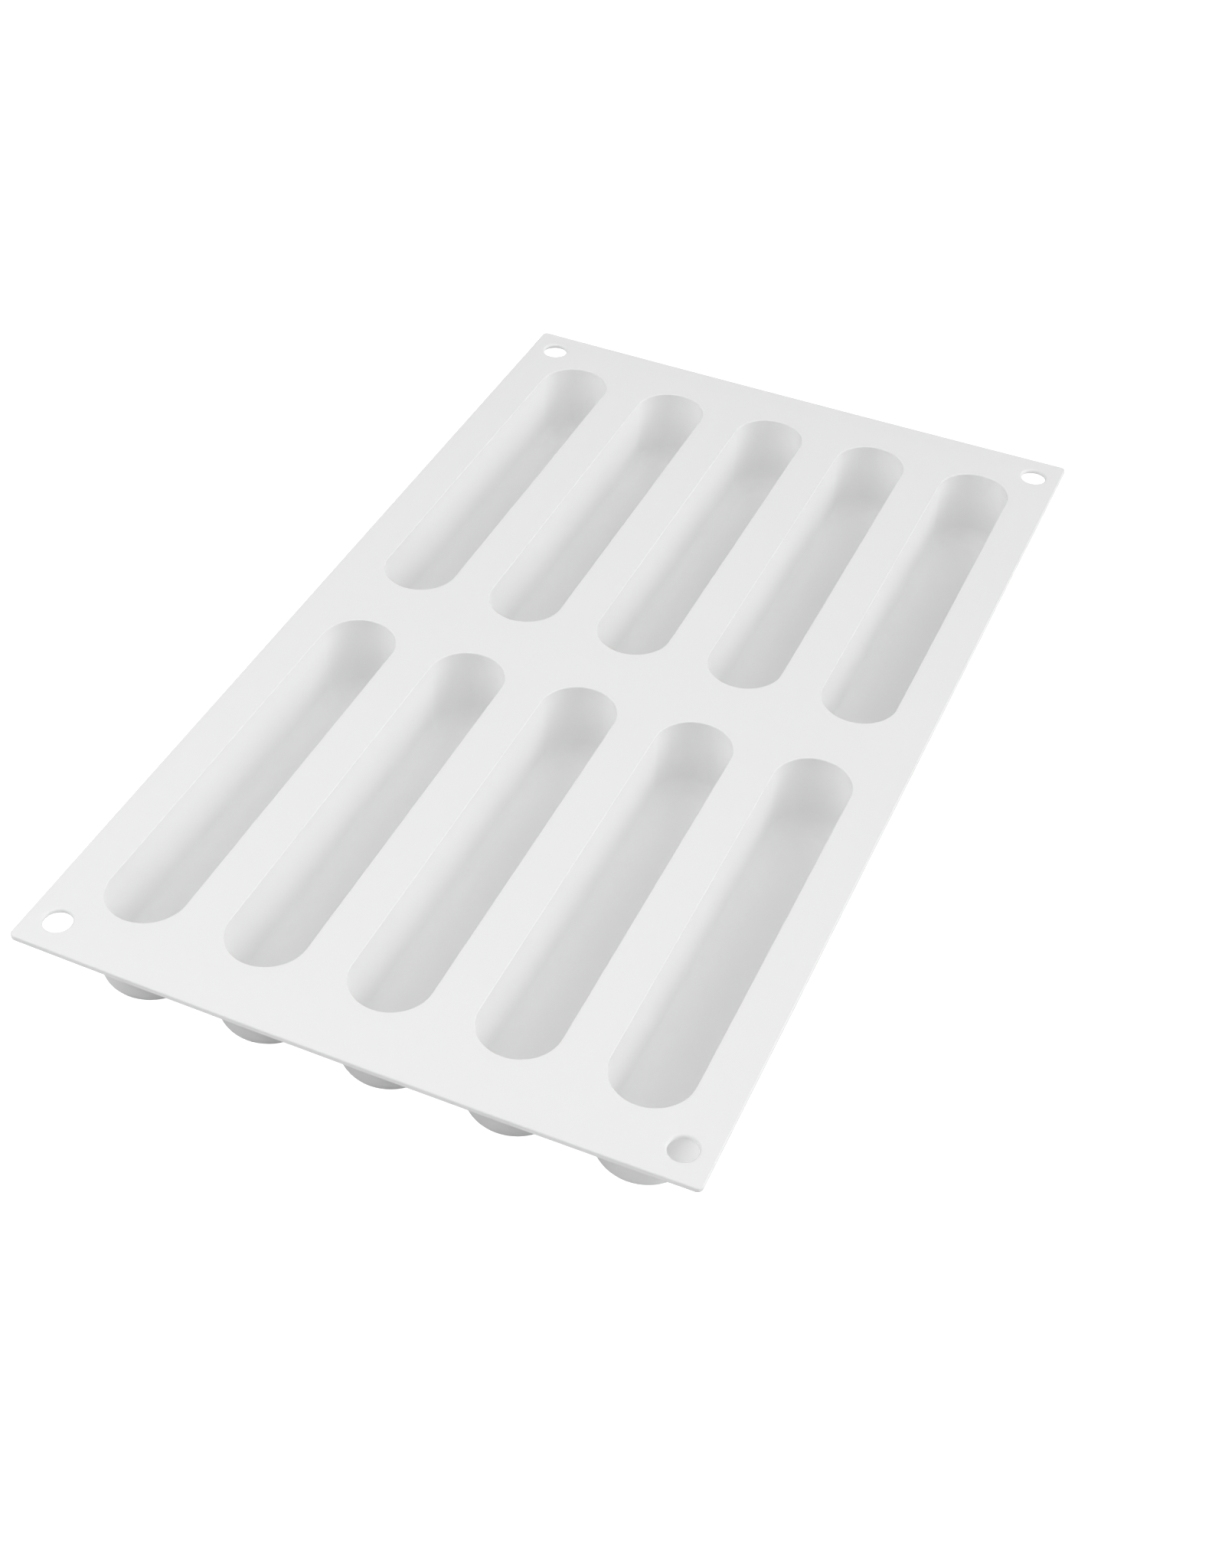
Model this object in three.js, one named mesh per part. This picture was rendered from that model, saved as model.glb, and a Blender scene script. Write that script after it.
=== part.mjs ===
import * as THREE from 'three';

// Silicone baguette mould tray: one thin deck with ten long troughs hanging below it.
// Millimetres, +Z up, trough bottoms rest on z = 0, deck lies across the top.

// ---- driving dimensions ----
const TRAY_WIDTH = 175;
const TRAY_LENGTH = 300;
const TRAY_HEIGHT = 26;
const DECK_THICKNESS = 1.6;
const DECK_CORNER_RADIUS = 1.5;

const TROUGH_COLUMNS = 5;
const TROUGH_PITCH = 32.8;
const ROW_OFFSET = 71.6;
const CAVITY_WIDTH = 20.7;
const CAVITY_LENGTH = 125.6;
const CAVITY_DEPTH = 23.6;
const CAVITY_FLOOR_RADIUS = 5;
const RIM_RADIUS = 0.4;
const SHELL_WIDTH = 26.4;
const SHELL_LENGTH = 134;
const SHELL_FLOOR_RADIUS = 5;
const WALL_DRAFT = 0.015;

const HOLE_DIAMETER = 7.2;
const HOLE_INSET_X = 7.8;
const HOLE_INSET_Y = 8.8;
const PAD_WIDTH = 14;
const PAD_LENGTH = 15.5;

const END_SEGMENTS = 14;
const FILLET_SEGMENTS = 6;
const RIM_SEGMENTS = 3;
const HOLE_SEGMENTS = 32;
const CORNER_SEGMENTS = 5;

const DECK_UNDERSIDE = TRAY_HEIGHT - DECK_THICKNESS;

// Collects vertices ring by ring and joins them into one closed, outward-facing skin.
class SkinBuilder {
  constructor() {
    this.positions = [];
    this.indices = [];
  }

  ring(points, z) {
    const start = this.positions.length / 3;
    for (const point of points) {
      this.positions.push(point.x, point.y, z);
    }
    return { start, count: points.length, points };
  }

  // Joins two rings of equal count; both run counter-clockwise seen from above.
  band(upper, lower, outward) {
    for (let i = 0; i < upper.count; i += 1) {
      const next = (i + 1) % upper.count;
      const a = upper.start + i;
      const b = upper.start + next;
      const c = lower.start + next;
      const d = lower.start + i;
      if (outward) {
        this.indices.push(a, d, c, a, c, b);
      } else {
        this.indices.push(a, c, d, a, b, c);
      }
    }
  }

  // Closes a flat face between an outline ring and any number of hole rings.
  face(outline, holes, facingUp) {
    const rings = [outline, ...holes];
    const points = rings.flatMap((ring) => ring.points);
    const lookup = rings.flatMap((ring) => ring.points.map((_, i) => ring.start + i));
    const triangles = THREE.ShapeUtils.triangulateShape(
      outline.points,
      holes.map((hole) => hole.points),
    );
    for (const [i, j, k] of triangles) {
      const a = points[i];
      const b = points[j];
      const c = points[k];
      const turn = (b.x - a.x) * (c.y - a.y) - (b.y - a.y) * (c.x - a.x);
      const keep = turn > 0 === facingUp;
      if (keep) {
        this.indices.push(lookup[i], lookup[j], lookup[k]);
      } else {
        this.indices.push(lookup[i], lookup[k], lookup[j]);
      }
    }
  }

  mesh(name, material) {
    const geometry = new THREE.BufferGeometry();
    geometry.setAttribute('position', new THREE.Float32BufferAttribute(this.positions, 3));
    geometry.setIndex(this.indices);
    geometry.computeVertexNormals();
    const mesh = new THREE.Mesh(geometry, material);
    mesh.name = name;
    return mesh;
  }
}

// White, slightly translucent silicone rubber with a soft satin surface.
function siliconeMaterial(name) {
  const material = new THREE.MeshStandardMaterial({
    color: 0xe9e9ea,
    roughness: 0.55,
    metalness: 0,
  });
  material.name = name;
  return material;
}

// Round-ended plan outline, counter-clockwise, long way along Y.
function stadium(cx, cy, halfWidth, halfLength) {
  const points = [];
  const straight = halfLength - halfWidth;
  for (let i = 0; i <= END_SEGMENTS; i += 1) {
    const angle = (Math.PI * i) / END_SEGMENTS;
    const x = cx + halfWidth * Math.cos(angle);
    const y = cy + straight + halfWidth * Math.sin(angle);
    points.push(new THREE.Vector2(x, y));
  }
  for (let i = 0; i <= END_SEGMENTS; i += 1) {
    const angle = Math.PI + (Math.PI * i) / END_SEGMENTS;
    const x = cx + halfWidth * Math.cos(angle);
    const y = cy - straight + halfWidth * Math.sin(angle);
    points.push(new THREE.Vector2(x, y));
  }
  return points;
}

// Deck outline with a rectangular notch at each corner, counter-clockwise.
function deckOutline() {
  const x1 = TRAY_WIDTH / 2;
  const y1 = TRAY_LENGTH / 2;
  const x0 = x1 - PAD_WIDTH;
  const y0 = y1 - PAD_LENGTH;
  const corners = [
    [x1, y0], [x0, y0], [x0, y1],
    [-x0, y1], [-x0, y0], [-x1, y0],
    [-x1, -y0], [-x0, -y0], [-x0, -y1],
    [x0, -y1], [x0, -y0], [x1, -y0],
  ];
  return corners.map(([x, y]) => new THREE.Vector2(x, y));
}

// Outline of one corner pad, rounded where the tray's own corner is, counter-clockwise.
function padOutline(signX, signY) {
  const x1 = TRAY_WIDTH / 2;
  const y1 = TRAY_LENGTH / 2;
  const x0 = x1 - PAD_WIDTH;
  const y0 = y1 - PAD_LENGTH;
  const points = [new THREE.Vector2(x0, y1), new THREE.Vector2(x0, y0), new THREE.Vector2(x1, y0)];
  for (let i = 0; i <= CORNER_SEGMENTS; i += 1) {
    const angle = (0.5 * Math.PI * i) / CORNER_SEGMENTS;
    const x = x1 - DECK_CORNER_RADIUS * (1 - Math.cos(angle));
    const y = y1 - DECK_CORNER_RADIUS * (1 - Math.sin(angle));
    points.push(new THREE.Vector2(x, y));
  }
  const placed = points.map((point) => new THREE.Vector2(signX * point.x, signY * point.y));
  return signX * signY > 0 ? placed : placed.reverse();
}

// Plan circle, counter-clockwise.
function circle(cx, cy, radius) {
  const points = [];
  for (let i = 0; i < HOLE_SEGMENTS; i += 1) {
    const angle = (2 * Math.PI * i) / HOLE_SEGMENTS;
    const x = cx + radius * Math.cos(angle);
    const y = cy + radius * Math.sin(angle);
    points.push(new THREE.Vector2(x, y));
  }
  return points;
}

// Centres of the ten troughs: a front row and a back row of five.
function troughCentres() {
  const centres = [];
  for (const row of ['front', 'back']) {
    for (let column = 0; column < TROUGH_COLUMNS; column += 1) {
      const x = (column - (TROUGH_COLUMNS - 1) / 2) * TROUGH_PITCH;
      const y = row === 'front' ? -ROW_OFFSET : ROW_OFFSET;
      centres.push({ name: `cavity_${row}_${column + 1}`, x, y });
    }
  }
  return centres;
}

// Name and side of each of the four corners.
function cornerSides() {
  return [
    { name: 'corner_front_left', signX: -1, signY: -1 },
    { name: 'corner_front_right', signX: 1, signY: -1 },
    { name: 'corner_back_right', signX: 1, signY: 1 },
    { name: 'corner_back_left', signX: -1, signY: 1 },
  ];
}

// Opening lip of one trough: steps of (half width growth, height) down the rounded rim.
function rimSteps() {
  const steps = [];
  for (let i = 0; i <= RIM_SEGMENTS; i += 1) {
    const angle = (0.5 * Math.PI * i) / RIM_SEGMENTS;
    const grow = RIM_RADIUS * (1 - Math.sin(angle));
    const z = TRAY_HEIGHT - RIM_RADIUS * (1 - Math.cos(angle));
    steps.push([grow, z]);
  }
  steps.push([0, DECK_UNDERSIDE]);
  return steps;
}

// Flat deck with ten round-lipped trough openings.
function deckSheet() {
  const skin = new SkinBuilder();
  const topOutline = skin.ring(deckOutline(), TRAY_HEIGHT);
  const bottomOutline = skin.ring(deckOutline(), DECK_UNDERSIDE);
  skin.band(topOutline, bottomOutline, true);
  const topHoles = [];
  const bottomHoles = [];
  for (const centre of troughCentres()) {
    const rings = rimSteps().map(([grow, z]) => {
      const outline = stadium(centre.x, centre.y, CAVITY_WIDTH / 2 + grow, CAVITY_LENGTH / 2 + grow);
      return skin.ring(outline, z);
    });
    for (let i = 1; i < rings.length; i += 1) {
      skin.band(rings[i - 1], rings[i], false);
    }
    topHoles.push(rings[0]);
    bottomHoles.push(rings[rings.length - 1]);
  }
  skin.face(topOutline, topHoles, true);
  skin.face(bottomOutline, bottomHoles, false);
  return skin.mesh('deck_sheet', siliconeMaterial('silicone_deck'));
}

// One corner of the deck, with its round through hole.
function cornerPad(corner) {
  const skin = new SkinBuilder();
  const cx = corner.signX * (TRAY_WIDTH / 2 - HOLE_INSET_X);
  const cy = corner.signY * (TRAY_LENGTH / 2 - HOLE_INSET_Y);
  const hole = circle(cx, cy, HOLE_DIAMETER / 2);
  const outline = padOutline(corner.signX, corner.signY);
  const top = skin.ring(outline, TRAY_HEIGHT);
  const bottom = skin.ring(outline, DECK_UNDERSIDE);
  const holeTop = skin.ring(hole, TRAY_HEIGHT);
  const holeBottom = skin.ring(hole, DECK_UNDERSIDE);
  skin.band(top, bottom, true);
  skin.band(holeTop, holeBottom, false);
  skin.face(top, [holeTop], true);
  skin.face(bottom, [holeBottom], false);
  return skin.mesh(corner.name, siliconeMaterial(`silicone_${corner.name}`));
}

// Steps of (inset, height) down one trough wall, round the floor edge and onto the flat floor.
function wallSteps(floorZ, floorRadius) {
  const steps = [[0, DECK_UNDERSIDE]];
  const wallDrop = DECK_UNDERSIDE - (floorZ + floorRadius);
  const wallInset = WALL_DRAFT * wallDrop;
  for (let i = 0; i <= FILLET_SEGMENTS; i += 1) {
    const angle = (0.5 * Math.PI * i) / FILLET_SEGMENTS;
    const inset = wallInset + floorRadius * (1 - Math.cos(angle));
    const z = floorZ + floorRadius * (1 - Math.sin(angle));
    steps.push([inset, z]);
  }
  return steps;
}

// One side of a trough shell as a stack of rings from the deck underside to its floor.
function wallRings(skin, centre, width, length, floorZ, floorRadius) {
  return wallSteps(floorZ, floorRadius).map(([inset, z]) => {
    const outline = stadium(centre.x, centre.y, width / 2 - inset, length / 2 - inset);
    return skin.ring(outline, z);
  });
}

// One trough: a thin upright-walled shell with a rounded floor edge, open at the top.
function troughShell(centre) {
  const skin = new SkinBuilder();
  const floorZ = TRAY_HEIGHT - CAVITY_DEPTH;
  const inner = wallRings(skin, centre, CAVITY_WIDTH, CAVITY_LENGTH, floorZ, CAVITY_FLOOR_RADIUS);
  const outer = wallRings(skin, centre, SHELL_WIDTH, SHELL_LENGTH, 0, SHELL_FLOOR_RADIUS);
  for (let i = 1; i < inner.length; i += 1) {
    skin.band(inner[i - 1], inner[i], false);
    skin.band(outer[i - 1], outer[i], true);
  }
  skin.band(outer[0], inner[0], false);
  skin.face(inner[inner.length - 1], [], true);
  skin.face(outer[outer.length - 1], [], false);
  return skin.mesh(centre.name, siliconeMaterial(`silicone_${centre.name}`));
}

const tray = new THREE.Group();
tray.name = 'baguette_tray';
tray.add(deckSheet());
for (const corner of cornerSides()) {
  tray.add(cornerPad(corner));
}
for (const centre of troughCentres()) {
  tray.add(troughShell(centre));
}

export default tray;
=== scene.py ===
import math

import bmesh
import bpy
from mathutils import Matrix, Vector, geometry


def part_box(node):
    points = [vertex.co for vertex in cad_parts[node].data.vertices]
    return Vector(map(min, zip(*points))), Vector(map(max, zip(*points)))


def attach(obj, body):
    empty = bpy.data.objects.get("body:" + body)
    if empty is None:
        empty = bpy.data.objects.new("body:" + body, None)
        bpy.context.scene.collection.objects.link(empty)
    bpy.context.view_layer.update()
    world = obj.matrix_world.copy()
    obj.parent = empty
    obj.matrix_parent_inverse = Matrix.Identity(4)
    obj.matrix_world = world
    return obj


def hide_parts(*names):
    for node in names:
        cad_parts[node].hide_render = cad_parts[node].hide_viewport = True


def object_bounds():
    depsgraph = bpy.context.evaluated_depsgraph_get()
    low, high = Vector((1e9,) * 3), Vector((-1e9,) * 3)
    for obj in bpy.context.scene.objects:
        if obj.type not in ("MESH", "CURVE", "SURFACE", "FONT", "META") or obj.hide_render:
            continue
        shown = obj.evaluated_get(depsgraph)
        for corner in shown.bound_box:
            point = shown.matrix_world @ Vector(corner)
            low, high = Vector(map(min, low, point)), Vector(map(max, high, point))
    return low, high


MM = 0.001

# ---- small sizes of the moulding, equal to those of the CAD solids where these state them ----
RIM_RADIUS = 0.25 * MM         # rounded lip round each trough mouth, finer than the CAD's 0.4 mm
CAVITY_WIDTH = 20.7 * MM
CAVITY_LENGTH = 125.6 * MM
CAVITY_DEPTH = 23.6 * MM
CAVITY_FLOOR_RADIUS = 5.0 * MM
SHELL_FLOOR_RADIUS = 5.0 * MM
WALL_DRAFT = 0.015             # inward lean of the walls, per unit of depth
CORNER_RADIUS = 1.5 * MM
HOLE_RADIUS = 3.6 * MM
HOLE_INSET_X = 7.8 * MM
HOLE_INSET_Y = 8.8 * MM
EDGE_RADIUS = 0.35 * MM        # softened outer edge of the deck
HOLE_EDGE_RADIUS = 0.6 * MM
SAG = 0.9 * MM                 # how far the free front flange droops in its middle
SAG_START_FRONT = 137 * MM     # distance from the middle where the front flange begins to droop
SAG_START_BACK = 139 * MM
BACK_SAG_SHARE = 0.3           # the back flange droops less
DECK_ONLY_MARGIN = 0.01 * MM   # points further than this below the underside don't droop

# ---- how finely the meshes are divided ----
END_SEGMENTS = 28              # round each end of a trough
SIDE_SEGMENTS = 22             # along each straight side of a trough
FILLET_SEGMENTS = 10
WALL_SEGMENTS = 5
RIM_SEGMENTS = 5
EDGE_SEGMENTS = 4
HOLE_SEGMENTS = 40
HOLE_EDGE_SEGMENTS = 3
CORNER_SEGMENTS = 8
GRID_STEP = 4.0 * MM           # spacing of the points over the flat deck
EDGE_CLEARANCE = 0.6           # least distance of a grid point to the outer edge, in grid steps
POINT_CLEARANCE = 0.45         # least distance of a grid point to any outline point, in grid steps
TRIANGULATION_ERROR = 1e-7     # metres
MERGE_DISTANCE = 1e-6          # metres
SHARP_ANGLE = 50               # degrees
NORMAL_WEIGHT = 80

# ---- stage ----
FLOOR_GLOW = 1.0
FLOOR_TONE = 0.8
FLOOR_TONE_SPREAD = 0.02
FLOOR_GAP = 0.05 * MM          # between the trough floors and the stage floor
SWEEP_START = 3.0              # metres from the tray to where the floor begins to rise
SWEEP_RADIUS = 1.5
WALL_HEIGHT = 1.5
FLOOR_RINGS = 8
SWEEP_RINGS = 24
BACKDROP_SEGMENTS = 96
# name, azimuth from +X towards +Y and elevation in degrees, distance and size in metres, watts
LIGHTS = (
    ("right_low", 22.0, 25.0, 3.5, 2.4, 33.0),
    ("right_middle", 0.0, 45.0, 3.5, 2.4, 25.0),
    ("right_back", 45.0, 45.0, 3.5, 2.4, 18.0),
    ("right_front", -45.0, 45.0, 1.5, 1.0, 2.0),
    ("left_low", -160.0, 25.0, 1.5, 1.0, 4.5),
    ("left_front", -135.0, 45.0, 1.5, 1.0, 5.0),
    ("front_high", -90.0, 65.0, 1.5, 1.0, 2.0),
    ("top", 0.0, 89.0, 1.5, 1.0, 2.8),
)

# ---- camera ----
CAMERA_AZIMUTH = 21.60         # degrees from straight in front, towards the right
CAMERA_ELEVATION = 42.44       # degrees
CAMERA_ROLL = 2.76             # degrees about its own axis
CAMERA_DISTANCE = 0.6003       # metres
FOCAL_SHARE = 1.4210           # focal length as a share of the frame's height
AIM_RIGHT = 0.0037             # how far right of the deck's middle it aims, as the same share
AIM_BELOW = 0.0724             # and how far below it
SENSOR_SIZE = 36               # millimetres
CLIP_START = 0.01              # metres

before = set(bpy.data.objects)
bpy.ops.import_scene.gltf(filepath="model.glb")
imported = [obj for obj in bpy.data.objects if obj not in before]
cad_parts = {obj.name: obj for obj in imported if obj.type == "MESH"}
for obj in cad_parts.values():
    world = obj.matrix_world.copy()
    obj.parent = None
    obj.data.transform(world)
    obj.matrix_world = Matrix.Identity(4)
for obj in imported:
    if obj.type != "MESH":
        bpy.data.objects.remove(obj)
cad_low, cad_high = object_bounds()
deck_low, deck_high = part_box("deck_sheet")
TOP = deck_high.z
UNDERSIDE = deck_low.z
HALF_X = deck_high.x
HALF_Y = deck_high.y


# ---------------------------------------------------------------- outlines
def stadium(cx, cy, half_width, half_length):
    """Round-ended outline, counter-clockwise, long way along Y."""
    straight = half_length - half_width
    points = []
    for sign, start in ((1, 0.0), (-1, math.pi)):
        for i in range(END_SEGMENTS + 1):
            a = start + math.pi * i / END_SEGMENTS
            points.append((cx + half_width * math.cos(a),
                           cy + sign * straight + half_width * math.sin(a)))
        for i in range(1, SIDE_SEGMENTS):
            t = i / SIDE_SEGMENTS
            points.append((cx - sign * half_width,
                           cy + sign * straight * (1 - 2 * t)))
    return points


def rounded_rectangle(half_x, half_y, radius):
    """Deck outline, counter-clockwise, with points along its sides."""
    points = []
    corners = ((1, 1), (-1, 1), (-1, -1), (1, -1))
    for k, (sx, sy) in enumerate(corners):
        cx, cy = sx * (half_x - radius), sy * (half_y - radius)
        for i in range(CORNER_SEGMENTS + 1):
            a = math.pi / 2 * (k + i / CORNER_SEGMENTS)
            points.append((cx + radius * math.cos(a), cy + radius * math.sin(a)))
        nx, ny = corners[(k + 1) % 4]
        a = math.pi / 2 * (k + 1)
        x0, y0 = points[-1]
        x1 = nx * (half_x - radius) + radius * math.cos(a)
        y1 = ny * (half_y - radius) + radius * math.sin(a)
        steps = max(2, round(math.hypot(x1 - x0, y1 - y0) / GRID_STEP))
        for i in range(1, steps):
            t = i / steps
            points.append((x0 + (x1 - x0) * t, y0 + (y1 - y0) * t))
    return points


def circle(cx, cy, radius, count):
    return [(cx + radius * math.cos(2 * math.pi * i / count),
             cy + radius * math.sin(2 * math.pi * i / count)) for i in range(count)]


# ---------------------------------------------------------------- mesh helpers
def ring(bm, points, z):
    return [bm.verts.new((x, y, z)) for x, y in points]


def band(bm, a, b):
    """Joins two rings of equally many points with quads."""
    count = len(a)
    for i in range(count):
        j = (i + 1) % count
        bm.faces.new((a[i], a[j], b[j], b[i]))


def bands(bm, rings):
    for a, b in zip(rings, rings[1:]):
        band(bm, a, b)


def inside_polygon(x, y, points):
    hit = False
    for (x0, y0), (x1, y1) in zip(points, points[1:] + points[:1]):
        if (y0 > y) != (y1 > y) and x < x0 + (y - y0) / (y1 - y0) * (x1 - x0):
            hit = not hit
    return hit


def in_a_hole(x, y, holes):
    """holes gives the outline and the box of each hole, and the box is tried first."""
    return any(low_x < x < high_x and low_y < y < high_y and inside_polygon(x, y, outline)
               for outline, (low_x, high_x, low_y, high_y) in holes)


def grid_points(coords, holes):
    """Staggered points over the deck, clear of its edge, the holes and the outline points."""
    nx, ny = round(2 * HALF_X / GRID_STEP), round(2 * HALF_Y / GRID_STEP)
    reach = GRID_STEP * EDGE_CLEARANCE
    clearance = (POINT_CLEARANCE * GRID_STEP) ** 2
    grid = []
    for i in range(nx + 1):
        for j in range(ny + 1):
            x = -HALF_X + 2 * HALF_X * (i + 0.5 * (j % 2)) / nx
            y = -HALF_Y + 2 * HALF_Y * j / ny
            if abs(x) > HALF_X - reach or abs(y) > HALF_Y - reach or in_a_hole(x, y, holes):
                continue
            p = Vector((x, y))
            if min((p - q).length_squared for q in coords) >= clearance:
                grid.append(p)
    return grid


def flat_face(bm, outline, hole_rings, z):
    """Evenly triangulated flat face between an outline ring and hole rings."""
    rings = [outline] + hole_rings
    verts = [v for r in rings for v in r]
    coords = [Vector((v.co.x, v.co.y)) for v in verts]
    edges = []
    start = 0
    for r in rings:
        edges += [(start + i, start + (i + 1) % len(r)) for i in range(len(r))]
        start += len(r)
    margin = GRID_STEP / 2
    holes = []
    for r in hole_rings:
        xs, ys = [v.co.x for v in r], [v.co.y for v in r]
        box = (min(xs) - margin, max(xs) + margin, min(ys) - margin, max(ys) + margin)
        holes.append((list(zip(xs, ys)), box))
    points = coords + grid_points(coords, holes)
    made = geometry.delaunay_2d_cdt(points, edges, [], 0, TRIANGULATION_ERROR)
    out_co, out_faces, origin = made[0], made[2], made[3]
    mapped = []
    for co, source in zip(out_co, origin):
        known = [s for s in source if s < len(verts)]
        mapped.append(verts[known[0]] if known else bm.verts.new((co.x, co.y, z)))
    border = [(v.co.x, v.co.y) for v in outline]
    for face in out_faces:
        cx = sum(out_co[i].x for i in face) / len(face)
        cy = sum(out_co[i].y for i in face) / len(face)
        if inside_polygon(cx, cy, border) and not in_a_hole(cx, cy, holes):
            bm.faces.new([mapped[i] for i in face])


def close_floor(bm, rim):
    """Closes a round-ended flat floor with quads between its two mirrored halves."""
    half = len(rim) // 2
    one_side = rim[:half][::-1]
    other_side = rim[half:]
    for i in range(half - 1):
        bm.faces.new((one_side[i], one_side[i + 1], other_side[i + 1], other_side[i]))


def smooth(t):
    t = max(0.0, min(1.0, t))
    return t * t * (3 - 2 * t)


def droop(x, y, z):
    """The thin flange hangs a little below the flat middle of the deck along its free edges."""
    if z < UNDERSIDE - DECK_ONLY_MARGIN:
        return 0.0
    across = max(0.0, 1 - (x / HALF_X) ** 2)
    front = smooth((-y - SAG_START_FRONT) / (HALF_Y - SAG_START_FRONT))
    back = smooth((y - SAG_START_BACK) / (HALF_Y - SAG_START_BACK))
    return -SAG * across * (front + BACK_SAG_SHARE * back)


def finish_mesh(bm, name, material):
    """Turns the built faces into a smooth piece of silicone that rides on the one body."""
    bmesh.ops.remove_doubles(bm, verts=bm.verts[:], dist=MERGE_DISTANCE)
    bmesh.ops.recalc_face_normals(bm, faces=bm.faces[:])
    for v in bm.verts:
        v.co.z += droop(v.co.x, v.co.y, v.co.z)
    mesh = bpy.data.meshes.new(name)
    bm.to_mesh(mesh)
    bm.free()
    mesh.shade_smooth()
    mesh.set_sharp_from_angle(angle=math.radians(SHARP_ANGLE))
    mesh.materials.append(material)
    piece = bpy.data.objects.new(name, mesh)
    bpy.context.scene.collection.objects.link(piece)
    normals = piece.modifiers.new("even_normals", "WEIGHTED_NORMAL")
    normals.keep_sharp = True
    normals.weight = NORMAL_WEIGHT
    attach(piece, "root")
    return piece


# ---------------------------------------------------------------- pieces
def troughs():
    """Node name, centre and half sizes of every trough shell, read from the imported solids."""
    found = []
    for node in sorted(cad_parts):
        if node.startswith("cavity_"):
            low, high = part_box(node)
            found.append((node, (low.x + high.x) / 2, (low.y + high.y) / 2,
                          (high.x - low.x) / 2, (high.y - low.y) / 2))
    return found


def hole_centres():
    return [(sx * (HALF_X - HOLE_INSET_X), sy * (HALF_Y - HOLE_INSET_Y))
            for sx in (-1, 1) for sy in (-1, 1)]


def arc_steps(count):
    """Sine and cosine of even steps through a right angle."""
    return [(math.sin(math.pi / 2 * i / count), math.cos(math.pi / 2 * i / count))
            for i in range(count + 1)]


def rounded_edge(radius, count):
    """(offset, height) pairs down the deck's thickness, rounded at its top and its underside."""
    upper = [(radius * (1 - s), TOP - radius * (1 - c)) for s, c in arc_steps(count)]
    lower = [(radius * (1 - c), UNDERSIDE + radius * (1 - s)) for s, c in arc_steps(count)]
    return upper + lower


def deck_piece(material):
    bm = bmesh.new()
    edge = [ring(bm, rounded_rectangle(HALF_X - g, HALF_Y - g, CORNER_RADIUS - g), z)
            for g, z in rounded_edge(EDGE_RADIUS, EDGE_SEGMENTS)]
    bands(bm, edge)
    top_holes, bottom_holes = [], []
    lip = [(RIM_RADIUS * (1 - s), TOP - RIM_RADIUS * (1 - c)) for s, c in arc_steps(RIM_SEGMENTS)]
    for _, cx, cy, _, _ in troughs():
        mouth = [ring(bm, stadium(cx, cy, CAVITY_WIDTH / 2 + g, CAVITY_LENGTH / 2 + g), z)
                 for g, z in lip + [(0.0, UNDERSIDE)]]
        bands(bm, mouth)
        top_holes.append(mouth[0])
        bottom_holes.append(mouth[-1])
    for cx, cy in hole_centres():
        wall = [ring(bm, circle(cx, cy, HOLE_RADIUS + g, HOLE_SEGMENTS), z)
                for g, z in rounded_edge(HOLE_EDGE_RADIUS, HOLE_EDGE_SEGMENTS)]
        bands(bm, wall)
        top_holes.append(wall[0])
        bottom_holes.append(wall[-1])
    flat_face(bm, edge[0], top_holes, TOP)
    flat_face(bm, edge[-1], bottom_holes, UNDERSIDE)
    piece = finish_mesh(bm, "tray_deck", material)
    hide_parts(*[n for n in sorted(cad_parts) if not n.startswith("cavity_")])


def wall_steps(floor_z, floor_radius):
    """(inset, height) pairs down a trough wall and round into its floor."""
    drop = UNDERSIDE - (floor_z + floor_radius)
    steps = [(WALL_DRAFT * drop * i / WALL_SEGMENTS, UNDERSIDE - drop * i / WALL_SEGMENTS)
             for i in range(WALL_SEGMENTS + 1)]
    for s, c in arc_steps(FILLET_SEGMENTS)[1:]:
        steps.append((WALL_DRAFT * drop + floor_radius * (1 - c),
                      floor_z + floor_radius * (1 - s)))
    return steps


def trough_piece(node, cx, cy, half_width, half_length, material):
    bm = bmesh.new()
    inner = [ring(bm, stadium(cx, cy, CAVITY_WIDTH / 2 - g, CAVITY_LENGTH / 2 - g), z)
             for g, z in wall_steps(TOP - CAVITY_DEPTH, CAVITY_FLOOR_RADIUS)]
    outer = [ring(bm, stadium(cx, cy, half_width - g, half_length - g), z)
             for g, z in wall_steps(0.0, SHELL_FLOOR_RADIUS)]
    for rings in (inner, outer):
        bands(bm, rings)
        close_floor(bm, rings[-1])
    band(bm, inner[0], outer[0])
    piece = finish_mesh(bm, node.replace("cavity_", "trough_"), material)
    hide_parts(node)


# ---------------------------------------------------------------- materials
def new_material(name):
    material = bpy.data.materials.new(name)
    material.use_nodes = True
    tree = material.node_tree
    return material, tree, tree.nodes["Principled BSDF"]


def noise(tree, place, scale, detail):
    """Noise fixed to the object, whose scale is in features per metre."""
    node = tree.nodes.new("ShaderNodeTexNoise")
    node.inputs["Scale"].default_value = scale
    node.inputs["Detail"].default_value = detail
    tree.links.new(place.outputs["Object"], node.inputs["Vector"])
    return node.outputs["Fac"]


def blend_colours(tree, factor, first, second):
    node = tree.nodes.new("ShaderNodeMix")
    node.data_type = "RGBA"
    node.inputs["A"].default_value = (*first, 1)
    node.inputs["B"].default_value = (*second, 1)
    tree.links.new(factor, node.inputs["Factor"])
    return node.outputs["Result"]


def bump(tree, height, strength, distance):
    node = tree.nodes.new("ShaderNodeBump")
    node.inputs["Strength"].default_value = strength
    node.inputs["Distance"].default_value = distance
    tree.links.new(height, node.inputs["Height"])
    return node


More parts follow.
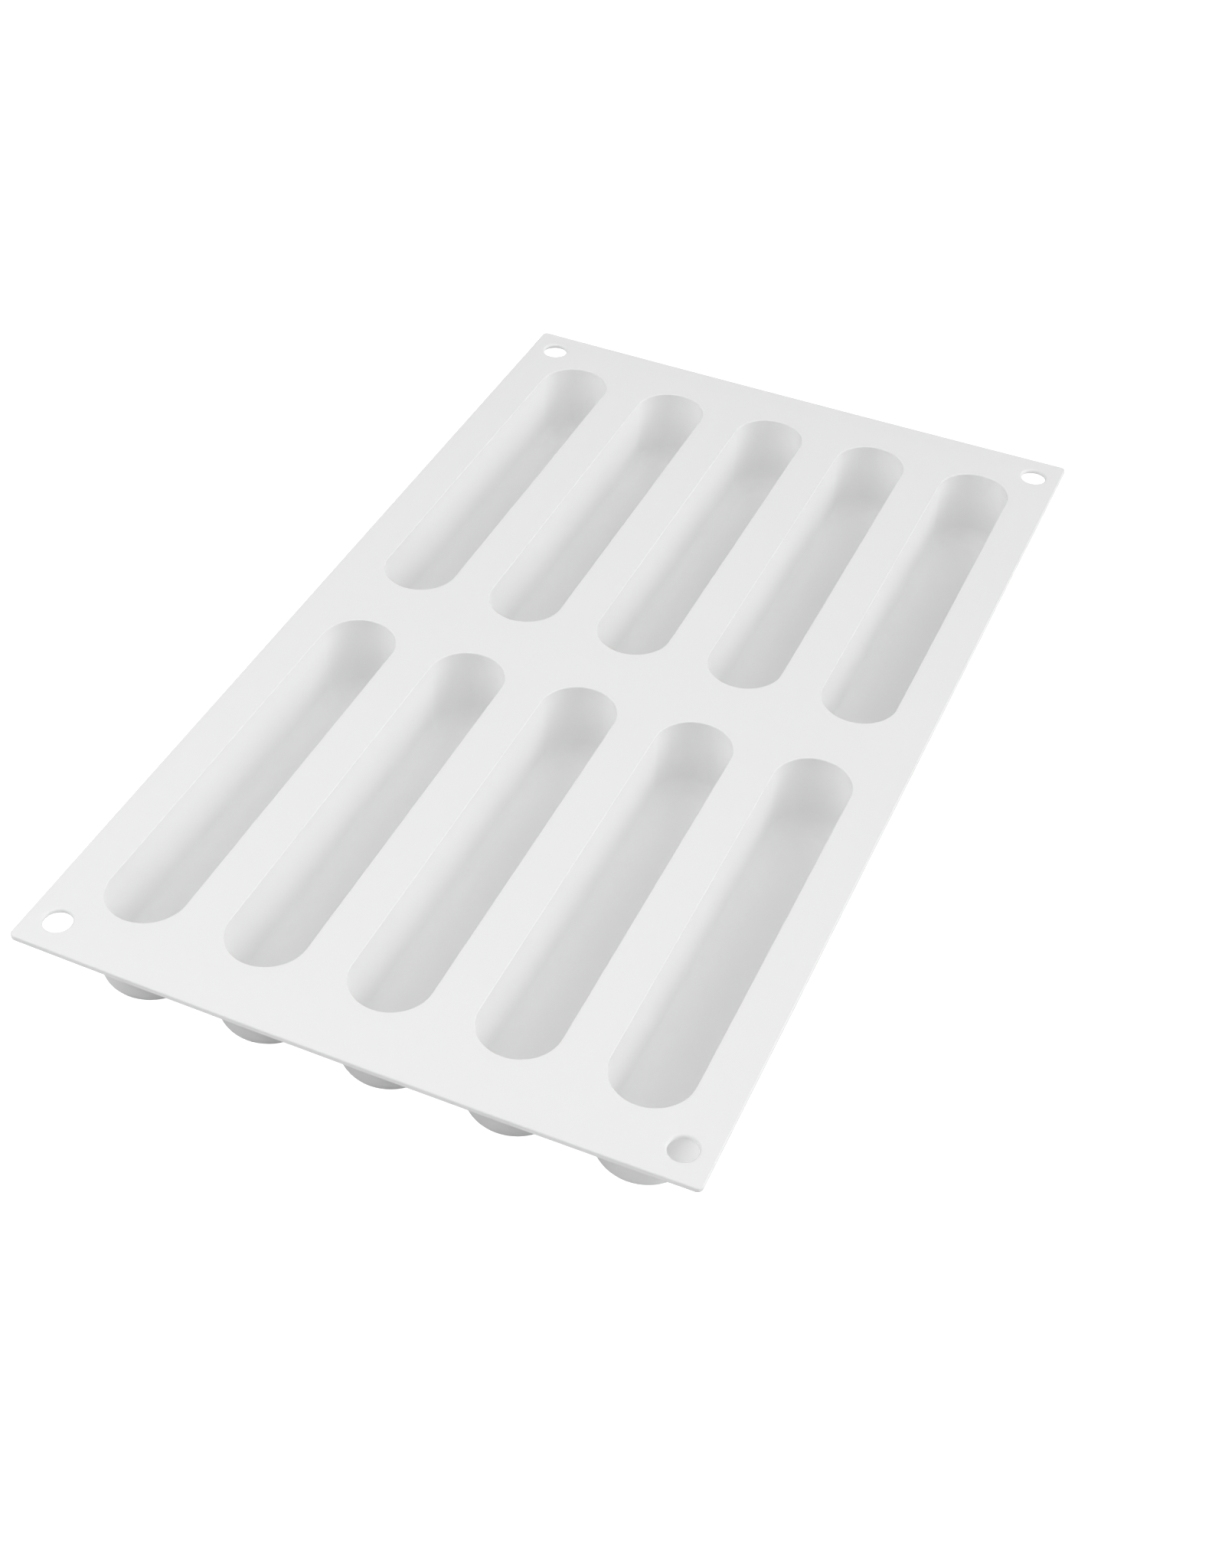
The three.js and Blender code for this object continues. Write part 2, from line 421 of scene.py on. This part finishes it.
def silicone():
    """Satin white rubber: faint clouding, soft uneven gloss and a fine matt grain."""
    material, tree, shader = new_material("silicone_satin")
    links = tree.links
    place = tree.nodes.new("ShaderNodeTexCoord")

    clouds = noise(tree, place, 22.0, 4.0)
    colour = blend_colours(tree, clouds, (0.965, 0.966, 0.968), (0.98, 0.98, 0.98))
    links.new(colour, shader.inputs["Base Color"])

    patches = noise(tree, place, 60.0, 3.0)
    gloss = tree.nodes.new("ShaderNodeMapRange")
    gloss.inputs["To Min"].default_value = 0.52
    gloss.inputs["To Max"].default_value = 0.66
    links.new(patches, gloss.inputs["Value"])
    links.new(gloss.outputs["Result"], shader.inputs["Roughness"])

    grain = bump(tree, noise(tree, place, 2600.0, 2.0), 0.05, 0.1 * MM)
    waves = bump(tree, noise(tree, place, 35.0, 1.0), 0.12, 0.6 * MM)
    links.new(grain.outputs["Normal"], waves.inputs["Normal"])
    links.new(waves.outputs["Normal"], shader.inputs["Normal"])
    shader.inputs["Specular IOR Level"].default_value = 0.35
    shader.inputs["IOR"].default_value = 1.41
    return material


def floor_material():
    material, tree, shader = new_material("pale_floor")
    speckle = tree.nodes.new("ShaderNodeTexNoise")
    speckle.inputs["Scale"].default_value = 3.0
    colour = blend_colours(tree, speckle.outputs["Fac"], (FLOOR_TONE,) * 3,
                           (FLOOR_TONE + FLOOR_TONE_SPREAD,) * 3)
    tree.links.new(colour, shader.inputs["Base Color"])
    shader.inputs["Roughness"].default_value = 0.9
    shader.inputs["Specular IOR Level"].default_value = 0.1
    shader.inputs["Emission Color"].default_value = (1, 1, 1, 1)
    shader.inputs["Emission Strength"].default_value = FLOOR_GLOW
    material.cycles.emission_sampling = "NONE"
    return material


# ---------------------------------------------------------------- stage
def backdrop_height(r):
    """Flat floor that sweeps up into a wall all round, well away from the tray."""
    rise = max(0.0, r - SWEEP_START)
    if rise < SWEEP_RADIUS:
        return SWEEP_RADIUS - math.sqrt(SWEEP_RADIUS ** 2 - rise ** 2)
    return SWEEP_RADIUS


def backdrop():
    mesh = bpy.data.meshes.new("floor")
    bm = bmesh.new()
    base = cad_low.z - FLOOR_GAP
    radii = [SWEEP_START * i / FLOOR_RINGS for i in range(1, FLOOR_RINGS + 1)]
    radii += [SWEEP_START + SWEEP_RADIUS * math.sin(math.pi / 2 * i / SWEEP_RINGS)
              for i in range(1, SWEEP_RINGS + 1)]
    rings = [ring(bm, circle(0, 0, r, BACKDROP_SEGMENTS), base + backdrop_height(r)) for r in radii]
    rings.append(ring(bm, circle(0, 0, radii[-1], BACKDROP_SEGMENTS),
                      base + SWEEP_RADIUS + WALL_HEIGHT))
    bm.faces.new(rings[0])
    bands(bm, rings[::-1])
    bmesh.ops.recalc_face_normals(bm, faces=bm.faces[:])
    if sum(f.normal.z for f in bm.faces) < 0:
        bmesh.ops.reverse_faces(bm, faces=bm.faces[:])
    bm.to_mesh(mesh)
    bm.free()
    mesh.shade_smooth()
    mesh.materials.append(floor_material())
    floor = bpy.data.objects.new("floor", mesh)
    bpy.context.scene.collection.objects.link(floor)
    # the backdrop's own glow keeps it an even white and lights only an empty object
    speck = bpy.data.objects.new("speck", bpy.data.meshes.new("speck"))
    reached = bpy.data.collections.new("lit_by_backdrop")
    reached.objects.link(speck)
    floor.light_linking.receiver_collection = reached


def softbox(name, azimuth, elevation, distance, size, watts):
    """Round soft light that faces the tray and stays out of the camera's sight."""
    light = bpy.data.lights.new(name, "AREA")
    light.shape = "DISK"
    light.size = size
    light.energy = watts
    lamp = bpy.data.objects.new(name, light)
    a, e = math.radians(azimuth), math.radians(elevation)
    lamp.location = distance * Vector((math.cos(a) * math.cos(e),
                                       math.sin(a) * math.cos(e), math.sin(e)))
    lamp.rotation_euler = (-lamp.location).to_track_quat("-Z", "Y").to_euler()
    lamp.visible_camera = False
    bpy.context.scene.collection.objects.link(lamp)


def stage():
    backdrop()
    world = bpy.data.worlds.new("studio")
    world.use_nodes = True
    world.node_tree.nodes["Background"].inputs["Strength"].default_value = 0.0
    bpy.context.scene.world = world
    for setting in LIGHTS:
        softbox(*setting)


def camera():
    """Looks down over the near right corner, turned a little about its own axis."""
    azimuth, elevation, roll = (math.radians(v) for v in
                                (CAMERA_AZIMUTH, CAMERA_ELEVATION, CAMERA_ROLL))
    back = Vector((math.sin(azimuth) * math.cos(elevation),
                   -math.cos(azimuth) * math.cos(elevation), math.sin(elevation)))
    level = Vector((math.cos(azimuth), math.sin(azimuth), 0))
    rise = back.cross(level)
    right = level * math.cos(roll) + rise * math.sin(roll)
    up = rise * math.cos(roll) - level * math.sin(roll)
    frame_height = CAMERA_DISTANCE / FOCAL_SHARE
    spot = (Vector((0, 0, TOP)) + back * CAMERA_DISTANCE
            + right * (AIM_RIGHT * frame_height) - up * (AIM_BELOW * frame_height))
    data = bpy.data.cameras.new("camera")
    data.sensor_width = SENSOR_SIZE
    data.lens = SENSOR_SIZE * FOCAL_SHARE
    data.clip_start = CLIP_START
    made = bpy.data.objects.new("camera", data)
    made.matrix_world = Matrix((
        (right.x, up.x, back.x, spot.x),
        (right.y, up.y, back.y, spot.y),
        (right.z, up.z, back.z, spot.z),
        (0, 0, 0, 1)))
    bpy.context.scene.collection.objects.link(made)
    bpy.context.scene.camera = made


rubber = silicone()
deck_piece(rubber)
for node, cx, cy, half_width, half_length in troughs():
    trough_piece(node, cx, cy, half_width, half_length, rubber)
stage()
camera()
bpy.context.scene.view_settings.view_transform = "Standard"
